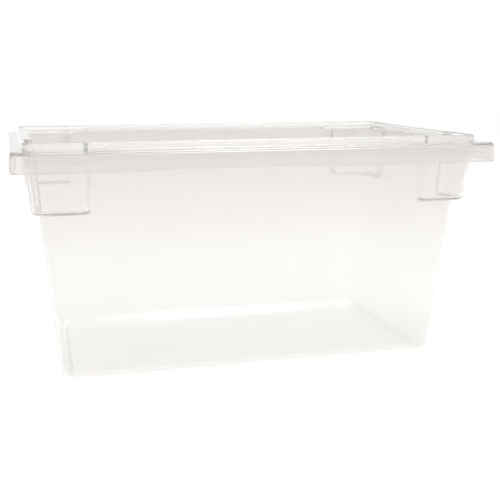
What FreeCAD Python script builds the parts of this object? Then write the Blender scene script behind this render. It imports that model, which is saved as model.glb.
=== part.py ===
"""Clear polycarbonate food box: one injection moulding, written as the named zones it is made of.

Millimetres. The origin is the middle of the face it rests on, +Z is up, +X runs along the box
and the front is at -Y. The moulding is one shell of even thickness: a tapered tub, four hollow
shoulders that carry a nested box at the corners, a raised lip round the mouth, and a flat shelf
outside the lip that turns down into a skirt. The two end skirts are the handles.
"""
import FreeCAD
import Part
import math
import os

# Overall sizes
rim_length = 457.2
rim_width = 304.8
height = 228.6

# Tub
wall = 3.0
floor_thickness = 3.2
draft = 5.2                # degrees the walls lean outwards
end_overhang = 18.7        # rim edge to the end wall's outer face, at shelf height
side_overhang = 25.6       # rim edge to the front and rear walls' outer faces, at shelf height
corner_radius = 15.0       # upright corners
base_radius = 14.0         # where the walls turn into the floor

# Lip, shelf and skirt
flange = 2.8               # thickness of all three
lip_height = 6.3           # shelf to the top of the lip
lip_step = 7.2             # how far the lip's outer face stands out from the walls below it
lip_corner_radius = 13.0
skirt_depth = 18.5         # shelf to the skirt's lower edge
skirt_draft = 3.0          # degrees the skirt flares outwards
rim_corner_radius = 9.0
edge_radius = 2.0          # rounding along the lip's and the skirt's top edges

# Corner shoulders
shoulder_tuck = 0.6        # how far a shoulder's outer faces stay inside the lip's above them
shoulder_length = 55.5     # how far a shoulder runs along each wall
shoulder_drop = 58.6       # shelf to the underside of the ledge
shoulder_corner_radius = 12.0
shoulder_edge_radius = 5.0

# Where one zone stops and the next starts
lip_margin = 1.0           # strip of shelf that belongs to the lip

# Worked out from the sizes above
half_length = rim_length / 2
half_width = rim_width / 2
shelf_z = height - lip_height
slope = math.tan(math.radians(draft))
flare = math.tan(math.radians(skirt_draft))
wall_across = wall / math.cos(math.radians(draft))
wall_x = half_length - end_overhang
wall_y = half_width - side_overhang
foot_x = wall_x - shelf_z * slope
foot_y = wall_y - shelf_z * slope
lip_x = wall_x + lip_step
lip_y = wall_y + lip_step
shoulder_step = lip_step - shoulder_tuck
ledge_z = shelf_z - shoulder_drop
lip_zone_z = shelf_z - flange
post_x = foot_x - corner_radius
post_y = foot_y - corner_radius
shoulder_x = wall_x + shoulder_step - shoulder_length
shoulder_y = wall_y + shoulder_step - shoulder_length
reach = 2 * max(rim_length, rim_width, height)
ENDS = {"left": -1, "right": 1}
SIDES = {"front": -1, "rear": 1}


def box(x_low, x_high, y_low, y_high, z_low, z_high):
    """An upright box between two corners."""
    size = (x_high - x_low, y_high - y_low, z_high - z_low)
    return Part.makeBox(*size, FreeCAD.Vector(x_low, y_low, z_low))


def flat_face(points):
    """A flat face through its corners."""
    return Part.Face(Part.makePolygon(points + points[:1]))


def leaning_block(half_x, half_y, z_at, z_low, z_high, lean):
    """A block with leaning sides, whose half sizes are given at height z_at."""
    low_x = half_x + (z_low - z_at) * lean
    low_y = half_y + (z_low - z_at) * lean
    high_x = half_x + (z_high - z_at) * lean
    high_y = half_y + (z_high - z_at) * lean
    low_face = (-low_x, z_low, -low_y, -high_y, -high_x)
    high_face = (low_x, z_high, low_y, high_y, high_x)
    wedge = Part.makeWedge(*low_face, *high_face)
    return wedge.rotated(FreeCAD.Vector(0, 0, 0), FreeCAD.Vector(1, 0, 0), 90)


def rising_edges(shape):
    """The edges that run from the lowest face to the highest."""
    tall = 0.9 * shape.BoundBox.ZLength
    return [edge for edge in shape.Edges if edge.BoundBox.ZLength > tall]


def level_edges(shape, z):
    """The edges that lie at one height."""
    near = 1e-4
    found = []
    for edge in shape.Edges:
        bounds = edge.BoundBox
        if abs(bounds.ZMin - z) < near and abs(bounds.ZMax - z) < near:
            found.append(edge)
    return found


def rounded_block(half_x, half_y, z_at, z_low, z_high, lean, upright, bottom=0, top=0):
    """A leaning block with rounded uprights, and a rounded bottom or top edge where asked."""
    block = leaning_block(half_x, half_y, z_at, z_low, z_high, lean)
    block = block.makeFillet(upright, rising_edges(block))
    if bottom:
        block = block.makeFillet(bottom, level_edges(block, z_low))
    if top:
        block = block.makeFillet(top, level_edges(block, z_high))
    return block


def tub_outside():
    """The tub's outer form, up into the thickness of the lip."""
    top_z = height - flange / 2
    return rounded_block(foot_x, foot_y, 0, 0, top_z, slope, corner_radius, bottom=base_radius)


def tub_inside():
    """The space in the tub, up through its mouth."""
    half_x = foot_x - wall_across
    half_y = foot_y - wall_across
    return rounded_block(
        half_x, half_y, 0, floor_thickness, height + wall, slope,
        corner_radius - wall, bottom=base_radius - wall,
    )


def shoulder_block(sx, sy, skin):
    """One corner shoulder, or with skin the hollow that lies that far inside it."""
    half_x = wall_x + shoulder_step - skin / math.cos(math.radians(draft))
    half_y = wall_y + shoulder_step - skin / math.cos(math.radians(draft))
    low = ledge_z + skin
    high = height + wall if skin else height - flange / 2
    body = leaning_block(half_x, half_y, shelf_z, low, high, slope)
    body = body.makeFillet(shoulder_corner_radius - skin, rising_edges(body))
    keep = corner_prism(sx, sy, shoulder_x + skin, shoulder_y + skin, low - 1, high + 1)
    body = body.common(keep)
    return body.makeFillet(shoulder_edge_radius - skin, outer_edges(body, sx, sy, low, skin))


def corner_prism(sx, sy, from_x, from_y, z_low, z_high):
    """Everything in one corner, outwards from two upright planes."""
    xs = sorted((sx * from_x, sx * reach))
    ys = sorted((sy * from_y, sy * reach))
    return box(*xs, *ys, z_low, z_high)


def outer_edges(body, sx, sy, low, skin):
    """A shoulder's edges that get rounded: the two uprights by the tub and round the ledge."""
    picked = []
    plane_x = shoulder_x + skin
    plane_y = shoulder_y + skin
    for edge in body.Edges:
        bounds = edge.BoundBox
        middle = bounds.Center
        along_x_plane = abs(sx * middle.x - plane_x) < 1e-3 and bounds.XLength < 1e-3
        along_y_plane = abs(sy * middle.y - plane_y) < 1e-3 and bounds.YLength < 1e-3
        if along_x_plane and along_y_plane:
            continue
        rising = bounds.ZLength > 0.9 * body.BoundBox.ZLength
        on_ledge = abs(bounds.ZMax - low) < 1e-3
        if rising and (along_x_plane or along_y_plane):
            picked.append(edge)
        if on_ledge:
            picked.append(edge)
    return picked


def rim():
    """Shelf, lip and skirt as one folded sheet, still closed across the mouth."""
    low = shelf_z - skirt_depth
    shelf = rounded_block(
        half_length, half_width, low, low, shelf_z, -flare, rim_corner_radius, top=edge_radius,
    )
    lip = rounded_block(
        lip_x, lip_y, shelf_z, shelf_z - flange, height, 0, lip_corner_radius, top=edge_radius,
    )
    under_shelf = rounded_block(
        half_length - flange, half_width - flange, low, low - 1, shelf_z - flange, -flare,
        rim_corner_radius - flange,
    )
    under_lip = rounded_block(
        lip_x - flange, lip_y - flange, shelf_z, low, height - flange, 0,
        lip_corner_radius - flange,
    )
    return shelf.fuse(lip).cut(under_shelf).cut(under_lip)


def moulding():
    """The whole box as one shell."""
    outside = rim().fuse(tub_outside())
    inside = tub_inside()
    for sx in ENDS.values():
        for sy in SIDES.values():
            outside = outside.fuse(shoulder_block(sx, sy, 0))
            inside = inside.fuse(shoulder_block(sx, sy, wall))
    return outside.cut(inside)


def quarter(side, outer, inner):
    """The part of a rectangular ring that faces one way, between mitres from inner to outer corner."""
    far_x = 2 * outer[0] - inner[0]
    far_y = 2 * outer[1] - inner[1]
    if side in SIDES:
        sign = SIDES[side]
        points = [(-far_x, sign * far_y), (far_x, sign * far_y)]
        points += [(inner[0], sign * inner[1]), (-inner[0], sign * inner[1])]
    else:
        sign = ENDS[side]
        points = [(sign * far_x, -far_y), (sign * far_x, far_y)]
        points += [(sign * inner[0], inner[1]), (sign * inner[0], -inner[1])]
    base = flat_face([FreeCAD.Vector(x, y, -1) for x, y in points])
    return base.extrude(FreeCAD.Vector(0, 0, height + 2))


def rim_zones(whole, within_lip, above):
    """The four lengths of lip, and outside them the two flanges and the two handles."""
    rim_corner = (half_length, half_width)
    lip_corner = (lip_x + lip_margin, lip_y + lip_margin)
    inside_corner = (lip_corner[0] - 2 * corner_radius, lip_corner[1] - 2 * corner_radius)
    flange_ring = whole.cut(within_lip)
    lip_ring = whole.common(within_lip).common(above)
    made = {}
    for side in (*SIDES, *ENDS):
        outer_name = side + ("_flange" if side in SIDES else "_handle")
        made[outer_name] = flange_ring.common(quarter(side, rim_corner, lip_corner))
        made[side + "_lip"] = lip_ring.common(quarter(side, lip_corner, inside_corner))
    return made


def tub_zones(tub):
    """Shoulders first, then the corner posts below them, then the floor and the four walls."""
    top_z = lip_zone_z + 1
    made = {}
    for side, sy in SIDES.items():
        for end, sx in ENDS.items():
            shoulder = corner_prism(
                sx, sy, shoulder_x - wall, shoulder_y - wall, ledge_z - wall, top_z,
            )
            post = corner_prism(sx, sy, post_x, post_y, -1, top_z)
            made[side + "_" + end + "_shoulder"] = tub.common(shoulder)
            made[side + "_" + end + "_corner"] = tub.cut(shoulder).common(post)
            tub = tub.cut(shoulder).cut(post)
    made["floor"] = tub.common(box(-post_x, post_x, -post_y, post_y, -1, top_z))
    for side, sy in SIDES.items():
        ys = sorted((sy * post_y, sy * reach))
        made[side + "_wall"] = tub.common(box(-post_x, post_x, *ys, -1, top_z))
    for end, sx in ENDS.items():
        xs = sorted((sx * post_x, sx * reach))
        made[end + "_wall"] = tub.common(box(*xs, -post_y, post_y, -1, top_z))
    return made


def zones():
    """Every named zone of the moulding. Zones meet face to face and share no volume."""
    whole = moulding()
    lip_cut_x = lip_x + lip_margin
    lip_cut_y = lip_y + lip_margin
    within_lip = box(-lip_cut_x, lip_cut_x, -lip_cut_y, lip_cut_y, -1, height + 1)
    above = box(-reach, reach, -reach, reach, lip_zone_z, height + 1)
    made = rim_zones(whole, within_lip, above)
    made.update(tub_zones(whole.common(within_lip).cut(above)))
    return made


def main():
    os.makedirs("parts", exist_ok=True)
    total = 0
    for name, shape in zones().items():
        solids = shape.Solids
        solid = solids[0] if len(solids) == 1 else Part.makeCompound(solids)
        solid = solid.removeSplitter()
        solid.exportStep("parts/" + name + ".step")
        total += solid.Volume
        print(name, len(solids), "solid(s)", round(solid.Volume / 1000, 1), "cm3", solid.isValid())
    print("material", round(total / 1000), "cm3")


main()
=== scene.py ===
# %% [markdown]
# # A clear food box with a rolled rim
#
# The real object is a single injection moulding in clear polycarbonate: a tapered tub, four
# shoulders in its top corners, a raised lip round the mouth, and a flat shelf that turns down
# into a skirt. Nothing is fastened to it and nothing moves. The design model cuts the moulding
# into named zones; here they are shown as what they are, one continuous skin of plastic.

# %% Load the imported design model
import bmesh
import bpy
import math
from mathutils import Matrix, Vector


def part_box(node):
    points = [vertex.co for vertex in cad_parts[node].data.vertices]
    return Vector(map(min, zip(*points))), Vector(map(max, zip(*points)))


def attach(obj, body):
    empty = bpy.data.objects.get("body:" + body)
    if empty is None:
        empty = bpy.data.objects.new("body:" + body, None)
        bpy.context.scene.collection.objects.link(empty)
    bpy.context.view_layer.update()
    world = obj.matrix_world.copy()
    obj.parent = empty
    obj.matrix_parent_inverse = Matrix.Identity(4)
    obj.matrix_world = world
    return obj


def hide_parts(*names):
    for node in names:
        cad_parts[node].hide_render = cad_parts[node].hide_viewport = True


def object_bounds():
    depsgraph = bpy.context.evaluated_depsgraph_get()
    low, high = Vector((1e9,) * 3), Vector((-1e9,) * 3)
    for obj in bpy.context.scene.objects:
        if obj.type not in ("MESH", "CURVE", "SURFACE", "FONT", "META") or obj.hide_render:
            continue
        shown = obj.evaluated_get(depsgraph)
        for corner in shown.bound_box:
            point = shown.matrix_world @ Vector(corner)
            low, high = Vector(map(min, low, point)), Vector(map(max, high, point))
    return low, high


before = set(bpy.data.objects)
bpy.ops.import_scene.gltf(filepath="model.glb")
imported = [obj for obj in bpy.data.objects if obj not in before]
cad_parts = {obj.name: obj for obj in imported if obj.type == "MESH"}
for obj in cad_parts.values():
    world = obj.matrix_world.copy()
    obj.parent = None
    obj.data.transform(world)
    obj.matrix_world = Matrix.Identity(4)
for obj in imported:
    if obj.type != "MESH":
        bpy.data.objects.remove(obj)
design_low, design_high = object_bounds()
print("design box, metres:", [round(v, 4) for v in design_high - design_low])

# %% [markdown]
# Sizes come first. The overall size, the height of the shelf and the foot of the tub are read
# from the design model, so that they can't drift from it. The thicknesses and radii of a
# moulding can't be read from a box round it, so they are named here, in metres.

# %% Sizes
MM = 0.001
wall = 3.0 * MM
flange = 2.8 * MM              # lip, shelf and skirt
floor_z = 3.2 * MM             # top of the floor
lip_margin = 1.0 * MM          # strip of shelf that the lip zones hold
corner_radius = 15.0 * MM
base_radius = 14.0 * MM
lip_corner_radius = 13.0 * MM
rim_corner_radius = 9.0 * MM
shoulder_corner_radius = 12.0 * MM

half_x = design_high.x
half_y = design_high.y
top_z = design_high.z
shelf_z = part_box("front_flange")[1].z
skirt_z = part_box("front_flange")[0].z
ledge_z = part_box("front_left_shoulder")[0].z + wall
lip_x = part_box("right_lip")[1].x - lip_margin
lip_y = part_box("rear_lip")[1].y - lip_margin
print("shelf at", round(shelf_z, 4), "lip face at", round(lip_x, 4), round(lip_y, 4))

# %% [markdown]
# The walls and the skirt lean outwards by a few degrees, so that the box leaves its mould and
# one box nests in another. For the same reason a shoulder's side slopes, where the design model
# has a plain step: two sizes say where the slope starts and how long it is.

# %% Where walls and shoulders stand
draft = math.radians(5.2)
flare = math.radians(3.0)      # the skirt's lean
shoulder_tuck = 0.6 * MM       # a shoulder stays this far inside the lip above it
shoulder_run = 4.5 * MM        # a shoulder's side slopes out over this length of wall
slope_start = 2.0 * MM         # the slope starts this far before the design model's step

slope = math.tan(draft)
across = wall / math.cos(draft)   # the wall measured level
wall_top_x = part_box("right_wall")[1].x + flange * slope
wall_top_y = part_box("rear_wall")[1].y + flange * slope
shoulder_top_x = lip_x - shoulder_tuck
shoulder_top_y = lip_y - shoulder_tuck
shoulder_from_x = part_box("front_right_shoulder")[0].x + wall - slope_start
shoulder_from_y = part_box("rear_right_shoulder")[0].y + wall - slope_start
shoulder_step = shoulder_top_x - wall_top_x
turn_shift = wall * math.tan(math.atan2(shoulder_step, shoulder_run) / 2)
print("outer wall at the shelf:", round(wall_top_x, 4), round(wall_top_y, 4))
print("ledge at", round(ledge_z, 4))
print("shoulders start at", round(shoulder_from_x, 4), round(shoulder_from_y, 4))

# %% [markdown]
# A moulding like this is one closed surface. It could be cut from solid blocks with booleans,
# but they leave long thin triangles that show up as ripples in clear plastic. Here the skin is
# drawn as a toolmaker would walk round it: a level outline is pulled from place to place, up the
# inside, over the lip, down the skirt and back down the outside. Nearly every step is an
# extrusion, so nearly all the skin is clean four-sided faces.
#
# Each outline is a rectangle with round corners. Two extra points on each side mark where the
# shoulders start, so that a shoulder can leave the wall there. They lie further along on a
# shoulder than on the wall, which is what makes the shoulder's side slope.

# %% Outlines of the moulding at any height
from collections import namedtuple

Outline = namedtuple("Outline", "x y radius z from_x from_y")


def wall_half(z):
    """Half sizes of the tub's outer faces at one height."""
    lean = (shelf_z - z) * slope
    return wall_top_x - lean, wall_top_y - lean


def outer_wall(z):
    x, y = wall_half(z)
    return Outline(x, y, corner_radius, z, shoulder_from_x, shoulder_from_y)


def outer_shoulder(z):
    lean = (shelf_z - z) * slope
    x, y = shoulder_top_x - lean, shoulder_top_y - lean
    from_x, from_y = shoulder_from_x + shoulder_run, shoulder_from_y + shoulder_run
    return Outline(x, y, shoulder_corner_radius, z, from_x, from_y)


def inside(outline):
    """The other face of the same wall. Turns in the wall move along by turn_shift."""
    x, y, radius, z, from_x, from_y = outline
    from_x, from_y = from_x + turn_shift, from_y + turn_shift
    return Outline(x - across, y - across, radius - wall, z, from_x, from_y)


def inner_wall(z):
    return inside(outer_wall(z))


def inner_shoulder(z):
    return inside(outer_shoulder(z))


def rim_outline(z, inset=0.0):
    """The skirt's outer faces, or the faces that lie inset from them."""
    lean = (z - skirt_z) * math.tan(flare)
    x, y = half_x - lean - inset, half_y - lean - inset
    beside = outer_shoulder(z) if inset else inner_shoulder(z)
    return Outline(x, y, rim_corner_radius - inset, z, beside.from_x, beside.from_y)


def lip_outline(z):
    beside = inner_shoulder(z)
    return Outline(lip_x, lip_y, lip_corner_radius, z, beside.from_x, beside.from_y)


def base_outlines(wall_at, low_z, turn_radius, steps=7):
    """Outlines down the round turn from a wall into the floor, tangent to both."""
    centre_z = low_z + turn_radius
    level = wall_at(centre_z)
    centre_x = level.x - turn_radius / math.cos(draft)
    centre_y = level.y - turn_radius / math.cos(draft)
    found = []
    for step in range(steps + 1):
        angle = -draft - step / steps * (math.pi / 2 - draft)
        out = turn_radius * math.cos(angle)
        shrink = turn_radius * (math.cos(draft) - math.cos(angle))
        found.append(level._replace(
            x=centre_x + out, y=centre_y + out, z=centre_z + turn_radius * math.sin(angle),
            radius=level.radius - shrink,
        ))
    return found


inner_base = base_outlines(inner_wall, floor_z, base_radius - wall)
outer_base = base_outlines(outer_wall, 0.0, base_radius)
print("corner radius where the floor starts, mm:", round(inner_base[-1].radius / MM, 2))

# %% [markdown]
# Two small tools do all the pulling. follow() carries a point from one outline to the next: a
# point on a round corner turns about its own corner's centre, so arcs stay arcs when their
# radius changes. pull() extrudes edges and carries the new points along.

# %% Tools that pull an outline along
TINY = 0.001 * MM
WELD = 10 * TINY


def follow(point, old, new):
    """Where a point of the old outline lies on the new one, or None if it isn't on the old one."""
    x, y = abs(point.x), abs(point.y)
    side_x = math.copysign(1, point.x)
    side_y = math.copysign(1, point.y)
    if abs(point.z - old.z) > TINY:
        return None
    if abs(x - old.from_x) < TINY and abs(y - old.y) < TINY:
        return Vector((side_x * new.from_x, side_y * new.y, new.z))
    if abs(y - old.from_y) < TINY and abs(x - old.x) < TINY:
        return Vector((side_x * new.x, side_y * new.from_y, new.z))
    out_x = x - (old.x - old.radius)
    out_y = y - (old.y - old.radius)
    if abs(math.hypot(out_x, out_y) - old.radius) > WELD or min(out_x, out_y) < -TINY:
        return None
    turn = new.radius / old.radius
    return Vector((
        side_x * (new.x - new.radius + out_x * turn),
        side_y * (new.y - new.radius + out_y * turn),
        new.z,
    ))


def pull(bm, edges, *moves):
    """Extrudes edges. Each new point follows the first (old, new) pair that it lies on."""
    made = bmesh.ops.extrude_edge_only(bm, edges=edges)["geom"]
    for vert in (g for g in made if isinstance(g, bmesh.types.BMVert)):
        places = [follow(vert.co, old, new) for old, new in moves]
        vert.co = next(place for place in places if place is not None)
    return [g for g in made if isinstance(g, bmesh.types.BMEdge)]


def weld(bm):
    bmesh.ops.remove_doubles(bm, verts=bm.verts[:], dist=WELD)


print("points closer than", round(WELD / MM, 3), "mm are welded")

# %% [markdown]
# The walk goes different ways at the shoulders and between them, so it has to pick its edges.
# open_edges() finds the ones that the walk has reached. The others say whether an edge belongs
# to a place: by its height, by the outline that it lies on, or by being one of the four long
# edges between two shoulders.

# %% Ways to pick edges
def open_edges(bm):
    return [edge for edge in bm.edges if edge.is_boundary]


def level_at(edge, z):
    return all(abs(vert.co.z - z) < TINY for vert in edge.verts)


def on(edge, outline):
    return all(follow(vert.co, outline, outline) for vert in edge.verts)


def on_side(edge, outline):
    """True for the one long edge of each side that lies between two shoulders."""
    a, b = (vert.co for vert in edge.verts)
    if abs(abs(a.x) - outline.from_x) < TINY and abs(abs(b.x) - outline.from_x) < TINY:
        return a.x * b.x < 0
    if abs(abs(a.y) - outline.from_y) < TINY and abs(abs(b.y) - outline.from_y) < TINY:
        return a.y * b.y < 0
    return False


# %% [markdown]
# The floor is the first outline. A stretched circle would have no straight sides, so it starts
# as a flat square, stretched to the floor's size. Its four corners are bevelled round, and four
# planes cut it where the shoulders will start.

# %% The floor
ARC_STEPS = 10                 # edges in a quarter turn


def start_floor(bm, outline):
    """A flat floor with round corners, cut where the shoulders will start."""
    made = bmesh.ops.create_grid(bm, x_segments=1, y_segments=1, size=1.0)
    size = max(vert.co.x for vert in made["verts"])
    bmesh.ops.scale(bm, vec=(outline.x / size, outline.y / size, 1), verts=bm.verts)
    bmesh.ops.translate(bm, vec=(0, 0, outline.z), verts=bm.verts)
    bmesh.ops.bevel(
        bm, geom=bm.verts[:], offset=outline.radius, offset_type="OFFSET", segments=ARC_STEPS,
        profile=0.5, affect="VERTICES", material=-1,
    )
    for side in (-1, 1):
        for cut_at, facing in (((side * outline.from_x, 0, 0), (1, 0, 0)),
                               ((0, side * outline.from_y, 0), (0, 1, 0))):
            everything = bm.verts[:] + bm.edges[:] + bm.faces[:]
            bmesh.ops.bisect_plane(bm, geom=everything, dist=TINY, plane_co=cut_at, plane_no=facing)


skin = bmesh.new()
start_floor(skin, inner_base[-1])
print("floor:", len(skin.faces), "faces,", len(open_edges(skin)), "edges round it")

# %% [markdown]
# Now the walk itself. Inside first: round turn, then wall up to the ledges. There the corners
# step outwards onto the ledges while the sides go straight on, and both meet again at the top.

# %% The inside of the tub, up to the top of the lip
edges = open_edges(skin)
for old, new in zip(inner_base[:0:-1], inner_base[-2::-1]):
    edges = pull(skin, edges, (old, new))
ledge_top = ledge_z + wall
wall_at_ledge = inner_wall(ledge_top)
wall_at_top = inner_wall(top_z)
shoulder_at_ledge = inner_shoulder(ledge_top)
shoulder_at_top = inner_shoulder(top_z)
edges = pull(skin, edges, (inner_base[0], wall_at_ledge))

sides = [edge for edge in edges if on_side(edge, wall_at_ledge)]
corners = [edge for edge in edges if edge not in sides]
pull(skin, corners, (wall_at_ledge, shoulder_at_ledge))
pull(skin, sides, (wall_at_ledge, wall_at_top))
rising = [edge for edge in open_edges(skin) if level_at(edge, ledge_top)]
pull(skin, rising, (wall_at_ledge, wall_at_top), (shoulder_at_ledge, shoulder_at_top))
weld(skin)
across_lip = [edge for edge in open_edges(skin) if on_side(edge, wall_at_top)]
pull(skin, across_lip, (wall_at_top, shoulder_at_top))
weld(skin)
print("inside:", len(skin.faces), "faces, open edges left at the top:", len(open_edges(skin)))

# %% [markdown]
# Over the lip, down to the shelf, out along it and round the skirt. The outline is whole again,
# so each step is one pull.

# %% Lip, shelf and skirt
shelf_under_z = shelf_z - flange
walk = [
    shoulder_at_top,
    lip_outline(top_z),
    lip_outline(shelf_z),
    rim_outline(shelf_z),
    rim_outline(skirt_z),
    rim_outline(skirt_z, flange),
    rim_outline(shelf_under_z, flange),
    outer_shoulder(shelf_under_z),
]
edges = open_edges(skin)
for old, new in zip(walk, walk[1:]):
    edges = pull(skin, edges, (old, new))
print("with the rim:", len(skin.faces), "faces")

# %% [markdown]
# Back down the outside. The corners drop down the shoulders and step in under the ledges, the
# sides step in to the wall first. The open gaps beside the shoulders close with one face each.

# %% The outside of the tub, down to its base
wall_at_shelf = outer_wall(shelf_under_z)
wall_under_ledge = outer_wall(ledge_z)
shoulder_at_shelf = outer_shoulder(shelf_under_z)
shoulder_under = outer_shoulder(ledge_z)
sides = [edge for edge in edges if on_side(edge, shoulder_at_shelf)]
corners = [edge for edge in edges if edge not in sides]
sides = pull(skin, sides, (shoulder_at_shelf, wall_at_shelf))
pull(skin, sides, (wall_at_shelf, wall_under_ledge))
corners = pull(skin, corners, (shoulder_at_shelf, shoulder_under))
pull(skin, corners, (shoulder_under, wall_under_ledge))
weld(skin)
below = [edge for edge in open_edges(skin) if on(edge, wall_under_ledge)]
gaps = [edge for edge in open_edges(skin) if edge not in below]
bmesh.ops.holes_fill(skin, edges=gaps, sides=6)
edges = pull(skin, below, (wall_under_ledge, outer_base[0]))
for old, new in zip(outer_base, outer_base[1:]):
    edges = pull(skin, edges, (old, new))
bmesh.ops.contextual_create(skin, geom=edges)
bmesh.ops.recalc_face_normals(skin, faces=skin.faces[:])
print("whole skin:", len(skin.faces), "faces, open edges:", len(open_edges(skin)))
print("plastic:", round(skin.calc_volume() * 1e6), "cm3")

# %% [markdown]
# Under the lip the moulding is hollow between the shoulders, so that the plastic is nowhere
# thick: thick plastic cools slowly and sinks. The hollow is a groove pressed up into the
# underside: inset the flat strip, then extrude the inner face upwards. Its ends slope.

# %% The groove under the lip on each side
groove_end = 3.0 * MM          # plastic left between a groove and the shoulder beside it
groove_skin = 0.6 * MM         # how much thicker the wall is behind the groove
groove_slope = 12.0 * MM       # length over which a groove runs out at each end
groove_top = top_z - flange


def groove_place(vert, z, along_x):
    """A groove's corner at one height, inside the lip and outside the wall."""
    x, y = vert.co.x, vert.co.y
    reach_x, reach_y = wall_half(z)
    end = groove_end + groove_slope * (z - shelf_under_z) / (groove_top - shelf_under_z)
    if along_x:
        low, high = reach_y + groove_skin, lip_y - flange
        place = low if abs(y) < (low + high) / 2 else high
        return Vector((math.copysign(shoulder_from_x - end, x), math.copysign(place, y), z))
    low, high = reach_x + groove_skin, lip_x - flange
    place = low if abs(x) < (low + high) / 2 else high
    return Vector((math.copysign(place, x), math.copysign(shoulder_from_y - end, y), z))


def is_strip(face):
    """True for the flat strip between wall and shelf on one side."""
    borders = (wall_at_shelf, shoulder_at_shelf)
    return all(any(follow(v.co, border, border) for border in borders) for v in face.verts)


strips = [face for face in skin.faces if is_strip(face)]
for strip in strips:
    middle = strip.calc_center_median()
    along_x = abs(middle.y) > abs(middle.x)
    bmesh.ops.inset_individual(skin, faces=[strip], thickness=groove_skin, depth=0)
    for vert in strip.verts:
        vert.co = groove_place(vert, shelf_under_z, along_x)
    raised = bmesh.ops.extrude_discrete_faces(skin, faces=[strip])["faces"][0]
    for vert in raised.verts:
        vert.co = groove_place(vert, groove_top, along_x)
print("grooves:", len(strips), " plastic:", round(skin.calc_volume() * 1e6), "cm3")

# %% [markdown]
# No edge of a moulding is sharp. Each kind of edge has its own size of bevel here, set as a bevel
# weight, so that one Bevel modifier rounds them all and joins them properly where they meet.
# A crease is found by its angle. Then its place says what kind it is.

# %% Edge radii
CREASE = math.radians(25)
set_back = {
    "lip_outside": 1.8 * MM,
    "lip_inside": 0.8 * MM,
    "lip_foot": 1.2 * MM,
    "shelf": 3.2 * MM,
    "skirt": 1.25 * MM,
    "skirt_root": 1.0 * MM,
    "ledge_outside": 3.6 * MM,
    "ledge_root": 1.0 * MM,
    "ledge_inside": 1.2 * MM,
    "ledge_mouth": 2.2 * MM,
    "side_outside": 2.6 * MM,
    "side_root": 1.6 * MM,
    "side_inside": 1.6 * MM,
    "side_mouth": 2.4 * MM,
    "shelf_root": 1.0 * MM,
    "groove": 0.7 * MM,
    "groove_mouth": 0.25 * MM,
}


def kind_of_crease(edge):
    """The name in set_back for a sharp edge, by where it runs."""
    bottom, top = sorted((vert.co for vert in edge.verts), key=lambda point: point.z)
    low, high = bottom.z, top.z
    level = high - low < TINY
    if level and abs(high - top_z) < TINY:
        return "lip_outside" if on(edge, lip_outline(top_z)) else "lip_inside"
    if level and abs(high - shelf_z) < TINY:
        return "lip_foot" if on(edge, lip_outline(shelf_z)) else "shelf"
    if level and abs(high - skirt_z) < TINY:
        return "skirt"
    if level and on(edge, rim_outline(shelf_under_z, flange)):
        return "skirt_root"
    if level and abs(high - ledge_top) < TINY:
        return "ledge_mouth" if on(edge, wall_at_ledge) else "ledge_inside"
    if level and abs(high - ledge_z) < TINY:
        return "ledge_root" if on(edge, wall_under_ledge) else "ledge_outside"
    if level and abs(high - shelf_under_z) < TINY:
        return "shelf_root" if on(edge, shoulder_at_shelf) else "groove_mouth"
    if low > shelf_under_z - TINY:
        return "groove"
    if abs(high - top_z) < TINY:
        return "side_mouth" if follow(top, wall_at_top, wall_at_top) else "side_inside"
    return "side_root" if follow(top, wall_at_shelf, wall_at_shelf) else "side_outside"


weight = skin.edges.layers.float.new("bevel_weight_edge")
widest = max(set_back.values())
counts = {}
for edge in skin.edges:
    if edge.calc_face_angle() < CREASE:
        continue
    kind = kind_of_crease(edge)
    counts[kind] = counts.get(kind, 0) + 1
    edge[weight] = set_back[kind] / widest
print("creases:", counts)

# %% [markdown]
# The skin becomes one object, because the real thing is one piece. Two modifiers finish it: Bevel
# rounds the weighted edges, and Weighted Normal keeps the shading of the wide flat faces flat
# right up to their round edges. It rides on the only body, and stands for every zone of the
# design model.

# %% The moulding as an object
for face in skin.faces:
    face.smooth = True
mesh = bpy.data.meshes.new("moulded_box")
skin.to_mesh(mesh)
skin.free()
box = bpy.data.objects.new("moulded_box", mesh)
bpy.context.scene.collection.objects.link(box)
rounding = box.modifiers.new("edge rounding", "BEVEL")
rounding.limit_method = "WEIGHT"
rounding.width = widest
rounding.segments = 5
rounding.use_clamp_overlap = False
rounding.harden_normals = False
flats = box.modifiers.new("flat faces stay flat", "WEIGHTED_NORMAL")
flats.keep_sharp = True
flats.weight = 100
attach(box, "root")
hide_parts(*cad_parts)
shaped = box.evaluated_get(bpy.context.evaluated_depsgraph_get()).to_mesh()
print("rounded skin:", len(shaped.polygons), "faces")

# %% [markdown]
# Clear polycarbonate bends light by 1.585 and takes a little of it away, more of the blue than
# of the red, so it reads as a faint warm grey where several layers overlap. Moulded plastic is
# never as clear as glass: the mould's fine grain blurs what lies behind it, and a share of
# diffuse in the Principled shader stands for the haze. The skin over that is still glossy, so a
# thin coat with sharp reflections goes on top.
#
# Its colour also carries painted shade and highlight by height: darker at the base, greyer
# towards the rim, lightest low on the walls and clearest on top of the lip, as the light falls.
# The base and the top of the lip are also scuffed white in patches, where they rub.

# %% Clear polycarbonate
plastic = bpy.data.materials.new("clear_polycarbonate")
plastic.use_nodes = True
nodes, links = plastic.node_tree.nodes, plastic.node_tree.links
surface = nodes["Principled BSDF"]
surface.inputs["Transmission Weight"].default_value = 0.80
surface.inputs["IOR"].default_value = 1.585
surface.inputs["Coat Weight"].default_value = 1.0
surface.inputs["Coat Roughness"].default_value = 0.03
box.data.materials.append(plastic)
print("the box is made of", box.data.materials[0].name)
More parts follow.
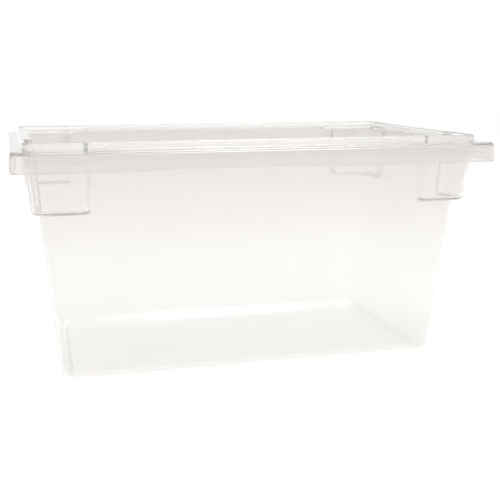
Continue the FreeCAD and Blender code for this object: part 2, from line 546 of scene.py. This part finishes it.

# %% [markdown]
# Tint with its painted shade, wear and scuffs are all patterns in the plastic's own space, so
# they stay where they are when the box is turned. Three helpers build them: noise() is the grain,
# ramp() turns a value into a colour or cuts it off, and combine() does arithmetic. They add their
# nodes to whatever nodes and links name, so the surroundings can use ramp() too.

# %% Helpers for patterns
own_axes = nodes.new("ShaderNodeTexCoord").outputs["Object"]


def ramp(value, stops, smooth="EASE"):
    """A colour ramp. Each stop is a position and a grey value or a colour."""
    node = nodes.new("ShaderNodeValToRGB")
    node.color_ramp.interpolation = smooth
    while len(node.color_ramp.elements) < len(stops):
        node.color_ramp.elements.new(0.5)
    for element, (at, colour) in zip(node.color_ramp.elements, stops):
        element.position = at
        element.color = (*colour, 1) if isinstance(colour, tuple) else (colour, colour, colour, 1)
    links.new(value, node.inputs[0])
    return node.outputs[0]


def noise(scale, detail, stretch=(1, 1, 1)):
    """A noise pattern on the box's own axes, scale in grains per metre."""
    mapping = nodes.new("ShaderNodeMapping")
    mapping.inputs["Scale"].default_value = stretch
    links.new(own_axes, mapping.inputs["Vector"])
    node = nodes.new("ShaderNodeTexNoise")
    node.inputs["Scale"].default_value = scale
    node.inputs["Detail"].default_value = detail
    links.new(mapping.outputs[0], node.inputs["Vector"])
    return node.outputs["Fac"]


def combine(operation, first, second):
    """One step of arithmetic. Either value may be a number or an output."""
    node = nodes.new("ShaderNodeMath")
    node.operation = operation
    for socket, value in zip(node.inputs, (first, second)):
        if isinstance(value, (int, float)):
            socket.default_value = value
        else:
            links.new(value, socket)
    return node.outputs[0]


# %% [markdown]
# Height above the table drives both the tint, with its painted shade and highlight, and the wear.
# It is measured from 0 at the base to 1 at the top of the lip.

# %% Tint with painted shade and highlight, and wear, by height
axes = nodes.new("ShaderNodeSeparateXYZ")
links.new(own_axes, axes.inputs[0])
height = combine("DIVIDE", axes.outputs["Z"], top_z)
# Painted shade and highlight: darker at the base and towards the rim, lighter low on the walls and
# on top of the lip; only the warm hue is the plastic's own tint.
tint_and_painted_shade = ramp(height, (
    (0.00, (0.925, 0.917, 0.900)),
    (0.10, (0.945, 0.939, 0.925)),
    (0.26, (0.978, 0.974, 0.963)),
    (0.52, (0.964, 0.956, 0.943)),
    (0.74, (0.922, 0.904, 0.889)),
    (0.90, (0.902, 0.880, 0.864)),
    (0.965, (0.902, 0.880, 0.864)),
    (0.975, (1.0, 0.998, 0.992)),
))
worn = ramp(height, ((0.0, 1.0), (0.012, 0.35), (0.05, 0.0), (0.985, 0.0), (1.0, 0.6)))
patches = ramp(noise(14, 3), ((0.35, 0.0), (0.68, 1.0)))
worn = combine("MULTIPLY", worn, patches)
whitening = combine("MULTIPLY", worn, 0.5)
whiter = nodes.new("ShaderNodeMix")
whiter.data_type = "RGBA"
links.new(whitening, whiter.inputs["Factor"])
links.new(tint_and_painted_shade, whiter.inputs["A"])
whiter.inputs["B"].default_value = (0.97, 0.97, 0.965, 1)
links.new(whiter.outputs["Result"], surface.inputs["Base Color"])
print("tint and wear:", len(nodes), "nodes so far")

# %% [markdown]
# Scuffs are noise stretched long and thin, cut off so that only its peaks are left. One set runs
# along the box and one up it. They are rougher than the plastic round them. The walls also have
# a slow waviness from cooling, which bends what is seen through them.

# %% Scuffs, cloudy patches and waviness
scuffs_along = ramp(noise(60, 4, (0.25, 0.25, 6)), ((0.62, 0.0), (0.70, 1.0)))
scuffs_up = ramp(noise(75, 4, (5, 5, 0.3)), ((0.64, 0.0), (0.72, 1.0)))
scuffs = combine("MULTIPLY", combine("MAXIMUM", scuffs_along, scuffs_up), patches)
roughness = 0.05
for pattern, rougher in ((patches, 0.04), (scuffs, 0.12), (worn, 0.25)):
    roughness = combine("ADD", roughness, combine("MULTIPLY", pattern, rougher))
links.new(roughness, surface.inputs["Roughness"])
waves = nodes.new("ShaderNodeBump")
waves.inputs["Distance"].default_value = 0.25 * MM
links.new(noise(9, 1), waves.inputs["Height"])
marks = nodes.new("ShaderNodeBump")
marks.inputs["Distance"].default_value = 0.006 * MM
links.new(scuffs, marks.inputs["Height"])
links.new(waves.outputs[0], marks.inputs["Normal"])
links.new(marks.outputs[0], surface.inputs["Normal"])
print("with scuffs and waviness:", len(nodes), "nodes")

# %% [markdown]
# A lamp's light should pass through the box instead of stopping at it. Light Path finds the rays
# that look for lamps, or that come off a matt surface, and lets those straight through.

# %% Light through the plastic
straight = nodes.new("ShaderNodeBsdfTransparent")
straight.inputs["Color"].default_value = (0.97, 0.965, 0.955, 1)
ray = nodes.new("ShaderNodeLightPath")
let_through = combine("MAXIMUM", ray.outputs["Is Shadow Ray"], ray.outputs["Is Diffuse Ray"])
passing = nodes.new("ShaderNodeMixShader")
links.new(let_through, passing.inputs[0])
links.new(surface.outputs[0], passing.inputs[1])
links.new(straight.outputs[0], passing.inputs[2])
links.new(passing.outputs[0], nodes["Material Output"].inputs["Surface"])
print("the whole material:", len(nodes), "nodes")

# %% [markdown]
# The camera stands a little above the rim and to the left of the box's middle, close enough for
# the near corners to look larger than the far ones. It is placed as a photographer would think
# of it: what it aims at, from which side, from how high and from how far.

# %% Camera
azimuth = math.radians(15.19)
elevation = math.radians(11.24)
aim = Vector((21.3, 0.0, 98.3)) * MM
distance = 969.3 * MM
look = Vector((
    math.sin(azimuth) * math.cos(elevation),
    math.cos(azimuth) * math.cos(elevation),
    -math.sin(elevation),
))
camera = bpy.data.objects.new("camera", bpy.data.cameras.new("camera"))
camera.data.lens = 63.85
camera.data.sensor_width = 36.0
camera.location = aim - look * distance
camera.rotation_mode = "QUATERNION"
camera.rotation_quaternion = look.to_track_quat("-Z", "Y")
bpy.context.scene.collection.objects.link(camera)
bpy.context.scene.camera = camera
print("camera at", [round(v, 3) for v in camera.location])

# %% [markdown]
# Clear plastic shows little of itself, so what stands round it matters as much as its material.
# The box stands on wide white paper. The paper glows a little, so that no grey shadow lies under
# the box, as on a light table.

# %% Paper floor
floor_mesh = bmesh.new()
bmesh.ops.create_circle(floor_mesh, cap_ends=True, segments=96, radius=6.0)
mesh = bpy.data.meshes.new("studio_floor")
floor_mesh.to_mesh(mesh)
floor_mesh.free()
floor = bpy.data.objects.new("studio_floor", mesh)
bpy.context.scene.collection.objects.link(floor)
paper = bpy.data.materials.new("white_paper")
paper.use_nodes = True
paper_surface = paper.node_tree.nodes["Principled BSDF"]
paper_surface.inputs["Base Color"].default_value = (0.9, 0.9, 0.9, 1)
paper_surface.inputs["Roughness"].default_value = 0.9
paper_surface.inputs["Emission Color"].default_value = (1, 1, 1, 1)
paper_surface.inputs["Emission Strength"].default_value = 0.525
mesh.materials.append(paper)
print("paper:", round(floor.dimensions.x, 1), "m across")

# %% [markdown]
# Round the box is a pale room. It is white at the horizon and below, greyer above and paler
# again overhead, like a studio with white walls and a lit ceiling. The plastic's edges show
# because they bend light from the greyer parts towards the camera. The camera itself sees plain
# white behind the box.

# %% Surroundings
world = bpy.data.worlds.new("studio")
bpy.context.scene.world = world
world.use_nodes = True
nodes, links = world.node_tree.nodes, world.node_tree.links
room = nodes["Background"]
room.inputs["Strength"].default_value = 1.0
direction = nodes.new("ShaderNodeTexCoord")
upwards = nodes.new("ShaderNodeSeparateXYZ")
links.new(direction.outputs["Generated"], upwards.inputs[0])
room_greys = ((0.0, 1.0), (0.08, 0.92), (0.25, 0.48), (0.70, 0.42), (1.0, 0.75))
room_colours = [(at, (grey, 0.99 * grey, 0.975 * grey)) for at, grey in room_greys]
links.new(ramp(upwards.outputs["Z"], room_colours, "LINEAR"), room.inputs["Color"])
backdrop = nodes.new("ShaderNodeBackground")
backdrop.inputs["Color"].default_value = (1, 1, 1, 1)
backdrop.inputs["Strength"].default_value = 1.05
seen = nodes.new("ShaderNodeLightPath")
shown = nodes.new("ShaderNodeMixShader")
links.new(seen.outputs["Is Camera Ray"], shown.inputs[0])
links.new(room.outputs[0], shown.inputs[1])
links.new(backdrop.outputs[0], shown.inputs[2])
links.new(shown.outputs[0], nodes["World Output"].inputs["Surface"])
bpy.context.scene.view_settings.view_transform = "Standard"
print("room:", len(room_colours), "steps of grey from the horizon to overhead")

# %% [markdown]
# One soft lamp hangs over the box, a little to the right and in front. It gives the rim and the
# shelf their highlights.

# %% The lamp overhead
lamp_place = Vector((0.35, -0.20, 1.5))
lamp_aim = Vector((0, 0, 0.1))
lamp = bpy.data.lights.new("overhead", "AREA")
lamp.shape = "RECTANGLE"
lamp.energy = 7.4
lamp.size = 1.0
lamp.size_y = 0.5
overhead = bpy.data.objects.new("overhead", lamp)
overhead.location = lamp_place
overhead.rotation_mode = "QUATERNION"
overhead.rotation_quaternion = (lamp_aim - lamp_place).to_track_quat("-Z", "Y")
bpy.context.scene.collection.objects.link(overhead)
print("lamp:", round(lamp.energy, 1), "W")

# %% [markdown]
# Last, the scene is brought up to date. The box of this model has to stay inside the box of the
# design model.

# %% Bring the scene up to date
bpy.context.view_layer.update()
